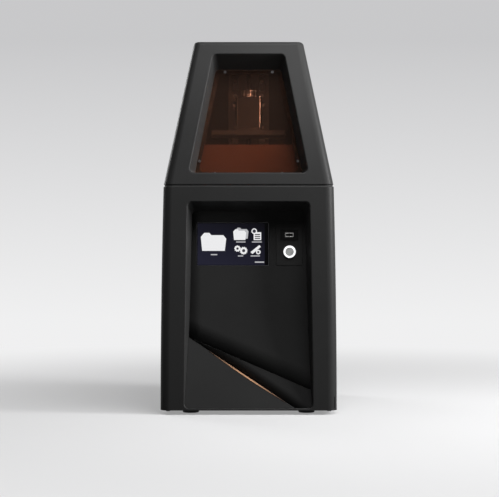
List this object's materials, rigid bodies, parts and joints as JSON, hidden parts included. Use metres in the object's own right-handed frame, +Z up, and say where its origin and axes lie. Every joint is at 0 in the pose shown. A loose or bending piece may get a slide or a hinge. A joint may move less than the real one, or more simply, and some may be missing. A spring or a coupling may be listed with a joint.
{
  "type": "resin printer",
  "caption": "Free-standing resin printer: dark casing with a recessed touch panel, a hinged hood with a deep amber window, and a screw-driven build platform over a vat.",
  "frame": {"origin": "on the floor under the middle of the machine's bounding box", "axes": "+Z up, the front with the window and panel faces -Y, +X to the right seen from the front"},
  "size_m": [0.3, 0.35, 0.6405],
  "materials": {
    "casing_plastic": "fine-textured matte black",
    "panel_plastic": "fine-textured matte black",
    "accent_orange": "satin orange",
    "amber_window": "tinted amber sheet",
    "amber_guard": "tinted amber sheet",
    "optical_glass": "clear polished",
    "screen_glass": "dark glossy screen",
    "clear_film": "clear film",
    "black_rubber": "matte",
    "screw_steel": "oiled",
    "bright_steel": "ground",
    "button_steel": "satin",
    "button_glow": "glowing white ring",
    "anodised_aluminium": "satin anodised",
    "black_sheet": "matte black powder coat",
    "nut_brass": "machined",
    "knob_plastic": "moulded",
    "moulded_black": "moulded",
    "supply_steel": "galvanised sheet",
    "board_green": "solder mask"
  },
  "bodies": {
    "base": {"accent_strip": "accent_orange", "base_plate": "black_sheet", "button_bezel": "button_steel", "button_light_ring": "button_glow", "casing_hinge_leaves": "black_sheet", "casing_screws": "screw_steel", "casing_shell": "casing_plastic", "clamp_studs": "bright_steel", "corner_plate": "panel_plastic", "display_module": "moulded_black", "facet_panel": "panel_plastic", "fan_frame": "moulded_black", "feet": "black_rubber", "film_frame": "bright_steel", "front_panel": "panel_plastic", "hinge_pins": "bright_steel", "key_plate": "panel_plastic", "lens_barrel": "moulded_black", "linear_rails": "bright_steel", "main_board": "board_green", "power_inlet": "moulded_black", "power_supply": "supply_steel", "projection_glass": "optical_glass", "projector_housing": "moulded_black", "projector_stand": "black_sheet", "rear_panel": "black_sheet", "rear_screws": "screw_steel", "rim_seal": "black_rubber", "screw_top_support": "anodised_aluminium", "splash_guard": "amber_guard", "top_bearing": "bright_steel", "top_deck": "anodised_aluminium", "touch_glass": "screen_glass", "usb_housing": "moulded_black", "usb_shell": "bright_steel", "vat_body": "anodised_aluminium", "vat_film": "clear_film", "vat_seat": "anodised_aluminium", "z_column": "anodised_aluminium", "z_motor": "moulded_black"},
    "hood": {"hood_shell": "casing_plastic", "window_pane": "amber_window", "hood_hinge_leaves": "black_sheet", "hood_screws": "screw_steel"},
    "carriage": {"rail_blocks": "bright_steel", "lead_nut": "nut_brass", "carriage_plate": "anodised_aluminium", "platform_arm": "anodised_aluminium", "platform_neck": "anodised_aluminium", "build_platform": "anodised_aluminium", "arm_screws": "screw_steel"},
    "knob": {"clamp_knob": "knob_plastic"},
    "screw": {"lead_screw": "bright_steel", "motor_coupler": "anodised_aluminium", "motor_shaft": "bright_steel"},
    "button": {"power_button": "button_steel"},
    "clamp_left": {"vat_clamp_left": "knob_plastic"},
    "clamp_right": {"vat_clamp_right": "knob_plastic"},
    "fan": {"fan_rotor": "moulded_black"},
    "rocker": {"mains_rocker": "moulded_black"}
  },
  "joints": [
    {"name": "hood_hinge", "type": "hinge", "parent": "base", "child": "hood", "pos_m": [0, 0.169, 0.38825], "axis": [-1, 0, 0], "range_deg": [0, 80]},
    {"name": "z_slide", "type": "slide", "parent": "base", "child": "carriage", "axis": [0, 0, 1], "range_m": [-0.086, 0.034]},
    {"name": "screw_turn", "type": "hinge", "parent": "base", "child": "screw", "pos_m": [0, 0.096, 0.5], "axis": [0, 0, 1], "range_deg": [-3100, 7800]},
    {"name": "knob_turn", "type": "hinge", "parent": "carriage", "child": "knob", "pos_m": [0, -0.014, 0.56], "axis": [0, 0, 1], "range_deg": [0, 720]},
    {"name": "button_press", "type": "slide", "parent": "base", "child": "button", "axis": [0, 0.999, -0.0436], "range_m": [0, 0.002], "stiffness_N_per_m": 800, "springref_m": -0.0005},
    {"name": "clamp_left_turn", "type": "hinge", "parent": "base", "child": "clamp_left", "pos_m": [-0.1085, -0.014, 0.4], "axis": [0, 0, 1], "range_deg": [0, 90]},
    {"name": "clamp_right_turn", "type": "hinge", "parent": "base", "child": "clamp_right", "pos_m": [0.1085, -0.014, 0.4], "axis": [0, 0, -1], "range_deg": [0, 90]},
    {"name": "fan_spin", "type": "hinge", "parent": "base", "child": "fan", "pos_m": [0.055, 0.145, 0.2375], "axis": [0, 1, 0], "continuous": true},
    {"name": "rocker_tilt", "type": "hinge", "parent": "base", "child": "rocker", "pos_m": [-0.0535, 0.1615, 0.0735], "axis": [1, 0, 0], "range_deg": [0, 16]}
  ],
  "couplings": [
    {"joint": "screw_turn", "follows": "z_slide", "rad_per_m": -1570.8}
  ]
}
